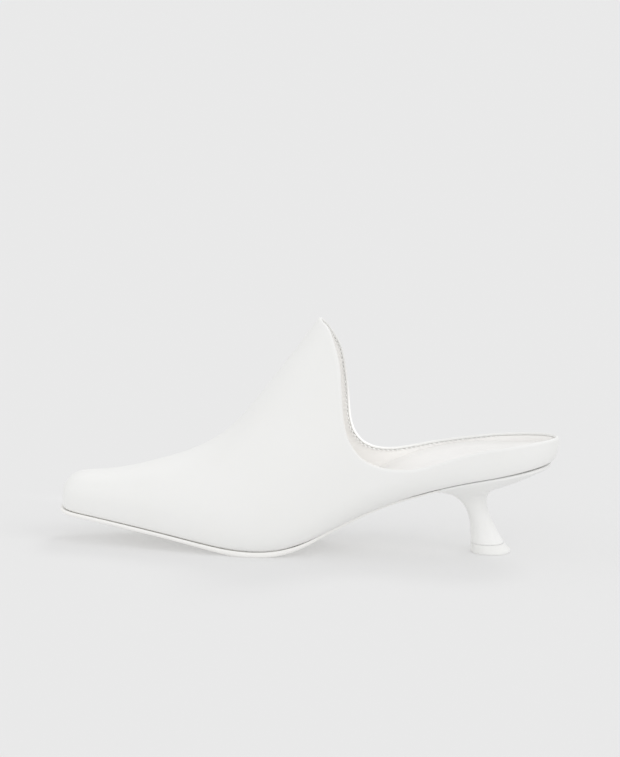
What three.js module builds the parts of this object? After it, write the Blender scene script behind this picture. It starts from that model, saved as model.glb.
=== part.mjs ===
// A left-foot mule: a high-fronted leather slipper on a kitten heel, square at the toe, with no back strap.
//
// Frame: +X to the toe, +Y to the wearer's left (the outer side of a left foot), +Z up, millimetres.
// The origin is the middle of the shoe's outline on the floor. Until the last step, x is counted from
// the back of the heel, so that a row of a table reads as a distance along the foot.
//
// Pieces, in the order that a shoemaker meets them:
//   upper    one hollow shell of lined leather, open at the collar and underneath
//   insole   the padded footbed that lies inside the upper
//   sole     a thin leather sole from the toe to the front of the heel
//   heel     a waisted kitten heel, flared at the seat and at the foot
//   top_lift the wearing pad under the heel

import * as THREE from "three";

// ---------------------------------------------------------------- driving sizes

const LENGTH = 268.6; // back of the heel to the toe
const WALL = 1.8; // upper leather with its lining
const GAP = 0.3; // between pieces that meet
const HEEL_ARC = 36; // length of the rounded back, where stations turn with the outline
const HEEL_TUCK = 3.6; // how far the seat lies inside the wall at the back
const HEEL_SQUARENESS = 2.1; // exponent of the rounded back, 2 is a circle
const TOE_ARC = 13; // length of the rounded front
const TOE_TUCK = 0.9; // how far the feather line lies inside the toe
const TOE_SQUARENESS = 3.2; // exponent of the toe's outline
const TOE_DROP = 10.5; // how far the crown falls over the front of the toe
const PEAK_X = 131.2; // where the two toplines meet on the instep

const COLLAR_COLUMNS = 40; // columns of the upper from the back to the peak
const VAMP_COLUMNS = 23; // columns from the peak to the toe
const WALL_ROWS = 14; // rows from the feather line to the top
const ROW_BIAS = 0.3; // how much the rows close up towards the top

// The last, station by station. x: from the back of the heel. seam: height of the feather line, where
// upper meets sole. arch: how much higher that line is on the inner side. The widths are half widths of
// the feather line and of the body, on the outer and inner sides. belly: height of the widest point over
// the feather line. crown: top of the last. ridge: sideways place of the crown. lean and dome: exponents of
// the section over the belly, larger is boxier.
const LAST = [
  { x: 30, seam: 45.7, arch: 0.0, footOut: 24.6, footIn: 24.6, bodyOut: 27.4, bodyIn: 27.4, belly: 10.5 },
  { x: 52, seam: 40.9, arch: 1.0, footOut: 23.6, footIn: 23.0, bodyOut: 27.8, bodyIn: 27.6, belly: 11.5 },
  { x: 75, seam: 34.1, arch: 2.4, footOut: 21.8, footIn: 19.6, bodyOut: 28.9, bodyIn: 28.0, belly: 13.5 },
  { x: 98, seam: 25.5, arch: 2.8, footOut: 22.6, footIn: 18.6, bodyOut: 31.6, bodyIn: 29.6, belly: 15.0 },
  { x: 118, seam: 15.9, arch: 1.8, footOut: 27.4, footIn: 22.6, bodyOut: 35.4, bodyIn: 33.0, belly: 15.0 },
  { x: 136, seam: 7.6, arch: 0.5, footOut: 33.4, footIn: 29.2, bodyOut: 38.8, bodyIn: 36.6, belly: 13.0 },
  { x: 153, seam: 3.6, arch: 0.0, footOut: 36.4, footIn: 34.4, bodyOut: 40.2, bodyIn: 39.2, belly: 11.0 },
  { x: 172, seam: 3.5, arch: 0.0, footOut: 36.2, footIn: 36.6, bodyOut: 39.2, bodyIn: 39.8, belly: 9.6 },
  { x: 190, seam: 5.9, arch: 0.0, footOut: 33.0, footIn: 34.8, bodyOut: 35.4, bodyIn: 37.2, belly: 8.6 },
  { x: 210, seam: 9.2, arch: 0.0, footOut: 28.0, footIn: 29.6, bodyOut: 29.9, bodyIn: 31.6, belly: 7.6 },
  { x: 232, seam: 12.5, arch: 0.0, footOut: 21.9, footIn: 22.8, bodyOut: 23.4, bodyIn: 24.4, belly: 6.6 },
  { x: 252, seam: 15.5, arch: 0.0, footOut: 17.2, footIn: 17.6, bodyOut: 18.4, bodyIn: 18.9, belly: 5.8 },
  { x: 269, seam: 18.1, arch: 0.0, footOut: 14.4, footIn: 14.6, bodyOut: 15.5, bodyIn: 15.8, belly: 5.4 },
];

// The crown line: the ridge of the instep, its side shift and the section's exponents. Behind the peak it is
// the last's own cone, which only shapes the walls below it.
const CROWN = [
  { x: 0, crown: 196.0, ridge: 0.0, lean: 1.9, dome: 2.0 },
  { x: 60, crown: 190.0, ridge: -0.5, lean: 1.9, dome: 2.0 },
  { x: 100, crown: 166.0, ridge: -1.5, lean: 1.85, dome: 1.95 },
  { x: 131, crown: 125.8, ridge: -2.0, lean: 1.75, dome: 1.85 },
  { x: 146, crown: 104.5, ridge: -2.0, lean: 1.7, dome: 1.85 },
  { x: 162, crown: 83.0, ridge: -1.8, lean: 1.7, dome: 1.85 },
  { x: 173, crown: 69.0, ridge: -1.6, lean: 1.75, dome: 1.9 },
  { x: 184, crown: 59.0, ridge: -1.3, lean: 1.85, dome: 2.0 },
  { x: 199, crown: 50.5, ridge: -1.0, lean: 2.0, dome: 2.1 },
  { x: 216, crown: 44.5, ridge: -0.6, lean: 2.2, dome: 2.3 },
  { x: 237, crown: 39.0, ridge: -0.2, lean: 2.5, dome: 2.6 },
  { x: 252, crown: 37.1, ridge: 0.0, lean: 2.7, dome: 2.8 },
  { x: 269, crown: 36.6, ridge: 0.0, lean: 2.8, dome: 2.9 },
];

// The topline of each side, from the middle of the back to the peak. foot is the station of the feather line
// that the same column of leather starts from.
const TOPLINE_OUT = [
  { x: 0, z: 64.6, foot: 0 },
  { x: 16, z: 64.8, foot: 16 },
  { x: 34, z: 61.6, foot: 34 },
  { x: 52, z: 56.9, foot: 51 },
  { x: 68, z: 51.6, foot: 66 },
  { x: 80, z: 48.9, foot: 77 },
  { x: 92, z: 49.7, foot: 88 },
  { x: 103, z: 54.0, foot: 99 },
  { x: 110, z: 61.6, foot: 108 },
  { x: 114.2, z: 72.0, foot: 117 },
  { x: 116.1, z: 84.0, foot: 126 },
  { x: 117.2, z: 96.0, foot: 134 },
  { x: 119.2, z: 107.6, foot: 142 },
  { x: 122.6, z: 116.6, foot: 149 },
  { x: 126.6, z: 123.2, foot: 154 },
  { x: PEAK_X, z: 125.6, foot: 159 },
];
const TOPLINE_IN = [
  { x: 0, z: 64.6, foot: 0 },
  { x: 16, z: 63.2, foot: 16 },
  { x: 34, z: 60.6, foot: 34 },
  { x: 52, z: 58.0, foot: 51 },
  { x: 68, z: 55.2, foot: 66 },
  { x: 81, z: 52.2, foot: 77 },
  { x: 95, z: 50.2, foot: 88 },
  { x: 106, z: 52.8, foot: 99 },
  { x: 112, z: 59.8, foot: 108 },
  { x: 114.5, z: 70.0, foot: 117 },
  { x: 115.6, z: 82.0, foot: 126 },
  { x: 117.3, z: 95.0, foot: 134 },
  { x: 120.0, z: 107.2, foot: 142 },
  { x: 124.6, z: 116.2, foot: 149 },
  { x: 128.6, z: 122.4, foot: 154 },
  { x: PEAK_X, z: 125.6, foot: 159 },
];

// The footbed's height over the feather line, at the outer and inner edges.
const FOOTBED = [
  { x: 0, out: 10.2, in: 10.2 },
  { x: 34, out: 10.6, in: 10.8 },
  { x: 62, out: 10.2, in: 11.4 },
  { x: 88, out: 8.0, in: 9.8 },
  { x: 110, out: 5.4, in: 6.4 },
  { x: 132, out: 3.8, in: 4.0 },
  { x: 160, out: 3.4, in: 3.4 },
  { x: 268, out: 3.4, in: 3.4 },
];

// The sole: how far its edge stands outside (or, below zero, inside) the feather line, and its thickness.
const SOLE = [
  { x: 64, lip: -0.4, thick: 2.4 },
  { x: 78, lip: -0.7, thick: 2.4 },
  { x: 92, lip: -1.8, thick: 2.3 },
  { x: 108, lip: -2.6, thick: 2.3 },
  { x: 124, lip: -1.0, thick: 2.5 },
  { x: 138, lip: 0.8, thick: 2.9 },
  { x: 153, lip: 1.3, thick: 3.3 },
  { x: 172, lip: 1.4, thick: 3.1 },
  { x: 192, lip: 1.3, thick: 2.5 },
  { x: 230, lip: 1.4, thick: 2.3 },
  { x: 252, lip: 1.6, thick: 2.3 },
  { x: 269, lip: 2.0, thick: 2.3 },
];
const SOLE_BACK = 64; // where the sole stops against the heel
const SOLE_BEVEL = 1.8; // how far the sole's lower edge is taken in
const TREAD_FROM = 151; // the stretch of the sole that lies flat on the floor
const TREAD_TO = 175;

// The heel, level by level from the floor. front and back: the ends of the level in side view, each with
// its height. half: half the level's width. seat: how far the level has the outline and the curve of the
// seat, from 0 to 1.
const HEEL_LEVELS = [
  { frontX: 46.0, frontZ: 5.3, backX: 28.2, backZ: 5.3, half: 9.2, seat: 0 },
  { frontX: 46.2, frontZ: 9.6, backX: 30.8, backZ: 9.6, half: 8.0, seat: 0 },
  { frontX: 46.7, frontZ: 14.6, backX: 33.4, backZ: 14.4, half: 7.1, seat: 0 },
  { frontX: 47.6, frontZ: 19.4, backX: 35.7, backZ: 19.6, half: 6.7, seat: 0 },
  { frontX: 49.4, frontZ: 23.9, backX: 37.6, backZ: 25.0, half: 7.1, seat: 0 },
  { frontX: 52.0, frontZ: 27.4, backX: 37.9, backZ: 29.6, half: 8.5, seat: 0 },
  { frontX: 55.3, frontZ: 30.1, backX: 35.6, backZ: 33.6, half: 11.2, seat: 0.05 },
  { frontX: 58.8, frontZ: 32.0, backX: 29.8, backZ: 36.8, half: 15.0, seat: 0.2 },
  { frontX: 61.4, frontZ: 33.3, backX: 21.4, backZ: 40.0, half: 18.6, seat: 0.45 },
  { frontX: 63.0, frontZ: 34.2, backX: 12.6, backZ: 44.0, half: 21.6, seat: 0.75 },
  { frontX: 63.7, frontZ: 35.0, backX: 6.0, backZ: 47.3, half: 23.5, seat: 1 },
  { frontX: 63.7, frontZ: 36.4, backX: 4.0, backZ: 48.7, half: 24.2, seat: 1 },
];
const HEEL_SQUARENESS_BELOW = 2.2; // exponent of the outline of the neck
const HEEL_FRONT_SHARE = 0.24; // share of half an outline taken by the seat's straight front
const HEEL_AROUND = 44; // points round each level

// The top lift: the foot of the heel, between the floor and the heel's lowest level.
const LIFT_HEIGHT = 5.0;
const LIFT = {
  foot: { frontX: 45.8, backX: 24.4, half: 11.2 },
  head: { frontX: 46.1, backX: 27.9, half: 9.4 },
};

// ---------------------------------------------------------------- curves

/** A natural cubic spline through one column of a table: a function of `by`. */
function curve(rows, column, by = "x") {
  const t = rows.map((row) => row[by]);
  const y = rows.map((row) => row[column]);
  const last = t.length - 1;
  const bend = new Array(t.length).fill(0);
  const share = new Array(t.length).fill(0);
  for (let i = 1; i < last; i++) {
    const before = t[i] - t[i - 1];
    const after = t[i + 1] - t[i];
    const pivot = 2 * (before + after) - before * share[i - 1];
    const turn = (y[i + 1] - y[i]) / after - (y[i] - y[i - 1]) / before;
    share[i] = after / pivot;
    bend[i] = (6 * turn - before * bend[i - 1]) / pivot;
  }
  for (let i = last - 1; i > 0; i--) bend[i] -= share[i] * bend[i + 1];
  return (at) => {
    let i = 1;
    while (i < last && at > t[i]) i++;
    const span = t[i] - t[i - 1];
    const a = (t[i] - at) / span;
    const b = 1 - a;
    if (a > 1 || b > 1) {
      // past an end the curve runs on straight
      const edge = a > 1 ? i - 1 : i;
      const sign = a > 1 ? -1 : 1;
      const slope = (y[i] - y[i - 1]) / span + (sign * span * bend[a > 1 ? i : i - 1]) / 6;
      return y[edge] + slope * (at - t[edge]);
    }
    const sag = ((a ** 3 - a) * bend[i - 1] + (b ** 3 - b) * bend[i]) * (span ** 2 / 6);
    return a * y[i - 1] + b * y[i] + sag;
  };
}

const lerp = THREE.MathUtils.lerp;
const clamp = THREE.MathUtils.clamp;

/** The height left on a quarter of a circle at a share of the way to its end. */
const roundOff = (share) => Math.sqrt(1 - clamp(share, 0, 1) ** 2);

const last = {};
for (const column of Object.keys(LAST[0])) last[column] = curve(LAST, column);
for (const column of Object.keys(CROWN[0])) last[column] = curve(CROWN, column);

/** Each side of the shoe: which way it faces and which columns of the tables are its own. */
const OUTER = { sign: 1, foot: "footOut", body: "bodyOut", bed: "out", topline: TOPLINE_OUT };
const INNER = { sign: -1, foot: "footIn", body: "bodyIn", bed: "in", topline: TOPLINE_IN };
const SIDES = [OUTER, INNER];

/** Height of the feather line at a station of one side. */
function seamHeight(x, side) {
  return last.seam(x) + (side === INNER ? Math.max(0, last.arch(x)) : 0);
}

/**
 * The plan outline at a station: the distance along the foot and the half width, for the feather line
 * (foot) or the body. Between the ends a station is simply a distance along the foot.
 */
function outline(station, side, which) {
  const half = last[side[which]];
  const foot = which === "foot";
  if (station < HEEL_ARC) {
    const turn = ((station / HEEL_ARC) * Math.PI) / 2;
    const reach = HEEL_ARC - (foot ? HEEL_TUCK : 0);
    const power = 2 / HEEL_SQUARENESS;
    return [HEEL_ARC - reach * Math.cos(turn) ** power, half(HEEL_ARC) * Math.sin(turn) ** power];
  }
  const arcStart = LENGTH - TOE_ARC;
  if (station <= arcStart) return [station, half(station)];
  const turn = clamp((station - arcStart) / TOE_ARC, 0, 1) * (Math.PI / 2);
  const power = 2 / TOE_SQUARENESS;
  const reach = TOE_ARC - (foot ? TOE_TUCK : 0);
  const x = arcStart + reach * Math.sin(turn) ** power;
  return [x, half(x) * Math.max(0, Math.cos(turn)) ** power];
}

/** Height of the crown at a station. */
function crownHeight(station) {
  const arcStart = LENGTH - TOE_ARC;
  if (station <= arcStart) return last.crown(station);
  const [x] = outline(station, OUTER, "body");
  return last.crown(x) - TOE_DROP * (1 - roundOff((x - arcStart) / TOE_ARC));
}

/** The last's own surface: the point of one side at a station and a height. */
function lastPoint(station, z, side) {
  const [footX, foot] = outline(station, side, "foot");
  const [bodyX, body] = outline(station, side, "body");
  const seam = seamHeight(bodyX, side);
  const top = crownHeight(station);
  const belly = Math.min(seam + last.belly(bodyX), lerp(seam, top, 0.6));
  if (z <= belly) {
    const out = Math.sqrt(1 - (1 - clamp((z - seam) / (belly - seam), 0, 1)) ** 2);
    return new THREE.Vector3(lerp(footX, bodyX, out), side.sign * lerp(foot, body, out), z);
  }
  const rise = clamp((z - belly) / (top - belly), 0, 1);
  const left = (1 - rise ** last.lean(bodyX)) ** (1 / last.dome(bodyX));
  const middle = last.ridge(bodyX);
  const axisX = Math.max(bodyX, HEEL_ARC);
  return new THREE.Vector3(lerp(axisX, bodyX, left), lerp(middle, side.sign * body, left), z);
}

/** Points of a column of leather, evenly spaced, from the feather line to its top. */
function column(foot, top, topZ, side, rows) {
  const STEPS = 160;
  const [footX] = outline(foot, side, "body");
  const seam = seamHeight(footX, side);
  const dense = [];
  for (let i = 0; i <= STEPS; i++) {
    const share = i / STEPS;
    const height = (1 - Math.cos(Math.PI * share)) / 2;
    dense.push(lastPoint(lerp(foot, top, height), lerp(seam, topZ, height), side));
  }
  const path = dense.map(() => 0);
  for (let i = 1; i <= STEPS; i++) path[i] = path[i - 1] + dense[i].distanceTo(dense[i - 1]);
  const points = [];
  for (let row = 0, i = 1; row <= rows; row++) {
    // rows close up a little towards the top
    const want = path[STEPS] * (row / rows + (ROW_BIAS * Math.sin((Math.PI * row) / rows)) / Math.PI);
    while (i < STEPS && path[i] < want) i++;
    const share = (want - path[i - 1]) / (path[i] - path[i - 1]);
    points.push(dense[i - 1].clone().lerp(dense[i], clamp(share, 0, 1)));
  }
  return points;
}

/** The columns of one side: collar columns from the back to the peak, then vamp columns to the toe. */
function columnsOf(side) {
  const rows = side.topline.map((row) => ({ ...row }));
  rows.forEach((row, i) => {
    const before = rows[i - 1] ?? row;
    row.along = (before.along ?? 0) + Math.hypot(row.x - before.x, row.z - before.z);
  });
  const [x, z, foot] = ["x", "z", "foot"].map((name) => curve(rows, name, "along"));
  const onTopline = (at) => {
    const top = Math.max(0, x(at));
    return { top, height: Math.min(z(at), crownHeight(top)), foot: Math.max(0, foot(at)) };
  };
  // columns are evenly spaced along the topline as it lies in space
  const DENSE = 600;
  const stops = [{ at: 0, length: 0, point: lastPoint(0, z(0), side) }];
  for (let i = 1; i <= DENSE; i++) {
    const at = (rows.at(-1).along * i) / DENSE;
    const { top, height } = onTopline(at);
    const point = lastPoint(top, height, side);
    const { length, point: before } = stops.at(-1);
    stops.push({ at, length: length + point.distanceTo(before), point });
  }
  const columns = [];
  for (let i = 0; i <= COLLAR_COLUMNS; i++) {
    const want = (stops.at(-1).length * i) / COLLAR_COLUMNS;
    const stop = stops.find(({ length }) => length >= want - 1e-9) ?? stops.at(-1);
    const place = onTopline(stop.at);
    if (i === COLLAR_COLUMNS) place.height = crownHeight(PEAK_X);
    columns.push(column(place.foot, place.top, place.height, side, WALL_ROWS));
  }
  const lastFoot = rows.at(-1).foot;
  for (let i = 1; i <= VAMP_COLUMNS; i++) {
    // the columns close up towards the toe, where the form turns quickly
    const share = Math.sin(((i / VAMP_COLUMNS) * Math.PI) / 2) ** 1.15;
    const top = lerp(PEAK_X, LENGTH, share);
    const slant = (lastFoot - PEAK_X) * (1 - share) ** 2;
    columns.push(column(top + slant, top, crownHeight(top), side, WALL_ROWS));
  }
  return columns;
}

// ---------------------------------------------------------------- meshes

/** Collects faces on shared vertices, and leaves out faces that have closed up. */
class Skin {
  constructor() {
    this.points = [];
    this.faces = [];
    this.index = new Map();
  }

  vertex(point) {
    const key = point.toArray().map((v) => Math.round(v * 1e3)).join(",");
    if (!this.index.has(key)) this.index.set(key, this.points.push(point) - 1);
    return this.index.get(key);
  }

  triangle(a, b, c) {
    const corners = [a, b, c].map((point) => this.vertex(point));
    if (new Set(corners).size === 3) this.faces.push(corners);
  }

  quad(a, b, c, d) {
    this.triangle(a, b, c);
    this.triangle(a, c, d);
  }

  /** Faces between two lists of points of the same length, outside to the right of the first. */
  strip(first, second) {
    for (let i = 1; i < first.length; i++) this.quad(first[i - 1], first[i], second[i], second[i - 1]);
  }

  geometry() {
    const geometry = new THREE.BufferGeometry().setFromPoints(this.points);
    geometry.setIndex(this.faces.flat());
    geometry.computeVertexNormals();
    return geometry;
  }
}

/** A named mesh in its own colour. */
function piece(name, skin, colour, roughness) {
  const material = new THREE.MeshStandardMaterial({ color: colour, roughness, metalness: 0 });
  const mesh = new THREE.Mesh(skin.geometry(), material);
  mesh.name = name;
  return mesh;
}

/** The list reversed when the side faces the other way, so that faces keep pointing out. */
const turned = (side, lists) => (side.sign > 0 ? lists : [...lists].reverse());

/** The whole outer surface of the upper, as columns of points with the normal at each. */
function outerForm() {
  const skin = new Skin();
  const forms = SIDES.map((side) => ({ side, columns: columnsOf(side) }));
  const [outer, inner] = forms.map((form) => form.columns);
  // the two sides share the back, the front and the ridge
  inner.splice(0, 1, outer[0]);
  inner.splice(-1, 1, outer.at(-1));
  for (let i = COLLAR_COLUMNS; i < inner.length; i++) inner[i][WALL_ROWS] = outer[i][WALL_ROWS];
  for (const { side, columns } of forms)
    for (let i = 1; i < columns.length; i++) skin.strip(...turned(side, [columns[i - 1], columns[i]]));
  const normals = skin.geometry().getAttribute("normal");
  for (const form of forms)
    form.normals = form.columns.map((points) =>
      points.map((point) => new THREE.Vector3().fromBufferAttribute(normals, skin.vertex(point))),
    );
  return forms;
}

/** The columns of a form moved inwards by a depth. */
function movedIn(form, depth) {
  return form.columns.map((points, i) =>
    points.map((point, j) => point.clone().addScaledVector(form.normals[i][j], -depth)),
  );
}

/** The upper: outer and inner surfaces, joined along the feather line and round the collar. */
function makeUpper(forms) {
  const skin = new Skin();
  for (const form of forms) {
    const { side, columns } = form;
    const lining = movedIn(form, WALL);
    for (let i = 1; i < columns.length; i++) {
      skin.strip(...turned(side, [columns[i - 1], columns[i]]));
      skin.strip(...turned(side, [lining[i], lining[i - 1]]));
    }
    const edge = (lists, row, count) => lists.slice(0, count).map((points) => points[row]);
    const all = columns.length;
    skin.strip(...turned(side, [edge(columns, 0, all), edge(lining, 0, all)]));
    const collar = COLLAR_COLUMNS + 1;
    skin.strip(...turned(side, [edge(lining, WALL_ROWS, collar), edge(columns, WALL_ROWS, collar)]));
  }
  return piece("upper", skin, 0xf4f4f3, 0.5);
}

/** The footbed: it fills the inside of the upper from the feather line to its own height. */
function makeInsole(forms) {
  const LEVELS = 4;
  const ACROSS = 3;
  const skin = new Skin();
  const bed = { out: curve(FOOTBED, "out"), in: curve(FOOTBED, "in") };
  const walls = forms.map((form) => {
    const { side } = form;
    return movedIn(form, WALL + GAP).map((points, i) => {
      const foot = form.columns[i][0];
      const top = foot.z + bed[side.bed](foot.x);
      // under the wall's turned edge the footbed stays inside the feather line
      const inside = side.sign * Math.max(0, Math.abs(points[0].y) - GAP);
      const levels = [new THREE.Vector3(points[0].x, inside, foot.z + GAP)];
      for (let k = 0; k < LEVELS; k++) {
        const z = lerp(points[0].z, Math.max(top, points[0].z + 0.4), k / (LEVELS - 1));
        let j = 1;
        while (j < points.length - 1 && points[j].z < z) j++;
        const share = clamp((z - points[j - 1].z) / (points[j].z - points[j - 1].z), 0, 1);
        levels.push(points[j - 1].clone().lerp(points[j], share).setZ(z));
      }
      return levels;
    });
  });
  const [outer, inner] = walls;
  const count = outer.length - 1;
  for (const end of [0, count]) {
    for (const point of outer[end]) point.y = 0;
    inner[end] = outer[end];
  }
  const across = (i, level) => {
    const line = [];
    for (let k = 0; k <= ACROSS; k++) line.push(outer[i][level].clone().lerp(inner[i][level], k / ACROSS));
    return line;
  };
  for (let i = 1; i <= count; i++) {
    skin.strip(outer[i - 1], outer[i]);
    skin.strip(inner[i], inner[i - 1]);
    skin.strip(across(i - 1, LEVELS), across(i, LEVELS));
    skin.strip(across(i, 0), across(i - 1, 0));
  }
  return piece("insole", skin, 0xf6f5f3, 0.45);
}

/** The sole: a thin sheet that follows the feather line, with a lip round the front and a flat tread. */
function makeSole() {
  const COLUMNS = 46;
  const skin = new Skin();
  const lip = curve(SOLE, "lip");
  const thick = curve(SOLE, "thick");
  const edge = (station, side, inset) => {
    const [x, half] = outline(station, side, "foot");
    const ahead = outline(Math.min(station + 0.5, LENGTH), side, "foot");
    const behind = outline(station - 0.5, side, "foot");
    const along = new THREE.Vector2(ahead[0] - behind[0], ahead[1] - behind[1]).normalize();
    const out = lip(x) - inset;
    if (station >= LENGTH) return new THREE.Vector2(x + out, 0);
    return new THREE.Vector2(x - along.y * out, side.sign * Math.max(0, half + along.x * out));
  };
  const rings = [];
  for (let i = 0; i <= COLUMNS; i++) {
    const share = Math.sin(((i / COLUMNS) * Math.PI) / 2) ** 1.1;
    const station = lerp(SOLE_BACK + GAP, LENGTH, share);
    const ring = [];
    const level = (side, inset, depth) => {
      const at = edge(station, side, inset);
      const top = last.seam(at.x) - GAP;
      const arch = side === INNER ? Math.max(0, last.arch(at.x)) : 0;
      const flat = at.x > TREAD_FROM && at.x < TREAD_TO && depth === 1;
      const z = flat ? 0 : Math.max(0, top - thick(at.x) * depth);
      return new THREE.Vector3(at.x, at.y, z + arch);
    };
    // round the section: top edge, side, lower edge, across the bottom and back up the other side
    ring.push(level(OUTER, 0.3, 0), level(OUTER, 0, 0.3), level(OUTER, 0.3, 0.7));
    const low = [level(OUTER, SOLE_BEVEL, 1), level(INNER, SOLE_BEVEL, 1)];
    for (const k of [0, 0.25, 0.5, 0.75, 1]) ring.push(low[0].clone().lerp(low[1], k));
    ring.push(level(INNER, 0.3, 0.7), level(INNER, 0, 0.3));
    const high = [level(INNER, 0.3, 0), level(OUTER, 0.3, 0)];
    for (const k of [0, 0.25, 0.5, 0.75]) ring.push(high[0].clone().lerp(high[1], k));
    rings.push(ring);
  }
  const closed = (ring) => [...ring, ring[0]];
  for (let i = 1; i < rings.length; i++) skin.strip(closed(rings[i]), closed(rings[i - 1]));
  const back = rings[0];
  const middle = back.reduce((sum, p) => sum.add(p), new THREE.Vector3()).divideScalar(back.length);
  closed(back).forEach((p, k, all) => k && skin.triangle(all[k - 1], all[k], middle));
  return piece("sole", skin, 0xefeeec, 0.55);
}

/** A point of the seat's outline, in shares of its half length and half width, at a share of half a turn. */
function seatShare(share, side) {
  if (share < HEEL_FRONT_SHARE) {
    const corner = outline(SOLE_BACK, side, "foot")[1] / last[side.foot](HEEL_ARC);
    return [1, (corner * share) / HEEL_FRONT_SHARE];
  }
  const station = lerp(SOLE_BACK, 0, (share - HEEL_FRONT_SHARE) / (1 - HEEL_FRONT_SHARE));
  const [x, half] = outline(station, side, "foot");
  return [lerp(-1, 1, (x - HEEL_TUCK) / (SOLE_BACK - HEEL_TUCK)), half / last[side.foot](HEEL_ARC)];
}

/** One level of the heel or top lift: a closed outline between its front and its back. */
function levelRing({ frontX, frontZ, backX, backZ, half, seat = 0 }) {
  const ring = [];
  const centre = lerp(backX, frontX, 0.5);
  const reach = (frontX - backX) / 2;
  const chord = (x) => lerp(last.seam(backX), last.seam(frontX), (x - backX) / (frontX - backX));
  for (let i = 0; i < HEEL_AROUND; i++) {
    const turn = (2 * i) / HEEL_AROUND;
    const side = turn <= 1 ? OUTER : INNER;
    const power = 2 / HEEL_SQUARENESS_BELOW;
    const [c, s] = [Math.cos(turn * Math.PI), Math.abs(Math.sin(turn * Math.PI))];
    const [along, across] = seatShare(turn <= 1 ? turn : 2 - turn, side);
    const x = centre + reach * lerp(Math.sign(c) * Math.abs(c) ** power, along, seat);
    const y = half * lerp(s ** power, across, seat);
    const z = lerp(backZ, frontZ, (x - backX) / (frontX - backX)) + seat * (last.seam(x) - chord(x));
    ring.push(new THREE.Vector3(x, side.sign * y, z));
  }
  return ring;
}

/** A solid through a stack of rings, closed at both ends. */
function stack(name, rings, colour, roughness) {
  const skin = new Skin();
  const closed = (ring) => [...ring, ring[0]];
  for (let i = 1; i < rings.length; i++) skin.strip(closed(rings[i - 1]), closed(rings[i]));
  for (const [ring, up] of [[rings[0], false], [rings.at(-1), true]]) {
    const centre = ring.reduce((sum, p) => sum.add(p), new THREE.Vector3()).divideScalar(ring.length);
    closed(ring).forEach((p, k, all) => {
      if (k) skin.triangle(...(up ? [all[k - 1], all[k], centre] : [all[k], all[k - 1], centre]));
    });
  }
  return piece(name, skin, colour, roughness);
}

/** The heel, with its seat following the underside of the upper. */
function makeHeel() {
  const rings = HEEL_LEVELS.map(levelRing);
  const seat = levelRing(HEEL_LEVELS.at(-1));
  for (const point of seat) point.z = last.seam(point.x) - GAP;
  rings.push(seat);
  return stack("heel", rings, 0xf3f3f2, 0.32);
}

/** The top lift: a low pad, wider at the floor. */
function makeTopLift() {
  const { foot, head } = LIFT;
  const at = (size, z) => levelRing({ ...size, frontZ: z, backZ: z });
  return stack("top_lift", [at(foot, 0), at(foot, 0.8), at(head, LIFT_HEIGHT)], 0xefefee, 0.45);
}

// ---------------------------------------------------------------- the shoe

const shoe = new THREE.Group();
const forms = outerForm();
shoe.add(makeUpper(forms), makeInsole(forms), makeSole(), makeHeel(), makeTopLift());

const middle = new THREE.Box3().setFromObject(shoe).getCenter(new THREE.Vector3());
shoe.position.set(-middle.x, -middle.y, 0);

export default shoe;
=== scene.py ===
"""A left-foot leather mule: a high pointed front, a square toe, no back strap and a low waisted heel.

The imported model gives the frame. Every visible piece is modelled again here on the same last, with rounder
edges, a lining, stitching and leather finishes. Tables are in millimetres along the foot, counted from the
back of the heel, and turned to metres and to the frame's own origin as each vertex is placed.
"""

import logging
import math
from collections.abc import Callable, Sequence
from dataclasses import dataclass, field
from enum import Enum

import bmesh
import bpy
from mathutils import Matrix, Vector

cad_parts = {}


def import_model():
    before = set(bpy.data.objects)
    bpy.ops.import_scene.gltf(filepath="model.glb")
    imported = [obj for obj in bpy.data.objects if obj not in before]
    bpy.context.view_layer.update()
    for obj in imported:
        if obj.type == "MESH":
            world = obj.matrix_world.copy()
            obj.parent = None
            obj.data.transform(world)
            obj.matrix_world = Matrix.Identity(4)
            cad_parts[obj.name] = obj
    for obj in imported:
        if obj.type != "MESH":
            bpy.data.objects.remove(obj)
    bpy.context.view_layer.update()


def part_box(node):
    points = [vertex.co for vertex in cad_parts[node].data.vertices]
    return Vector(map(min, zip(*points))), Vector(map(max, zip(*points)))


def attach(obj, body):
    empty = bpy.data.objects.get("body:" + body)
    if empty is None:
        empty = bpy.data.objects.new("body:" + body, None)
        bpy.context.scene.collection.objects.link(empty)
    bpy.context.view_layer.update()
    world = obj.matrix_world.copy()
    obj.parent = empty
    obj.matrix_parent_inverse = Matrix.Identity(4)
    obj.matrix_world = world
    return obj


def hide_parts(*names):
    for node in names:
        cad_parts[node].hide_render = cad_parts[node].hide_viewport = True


LOG = logging.getLogger("mule")
MM = 0.001
BODY = "root"


# ------------------------------------------------------------------------------------------ curves


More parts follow.
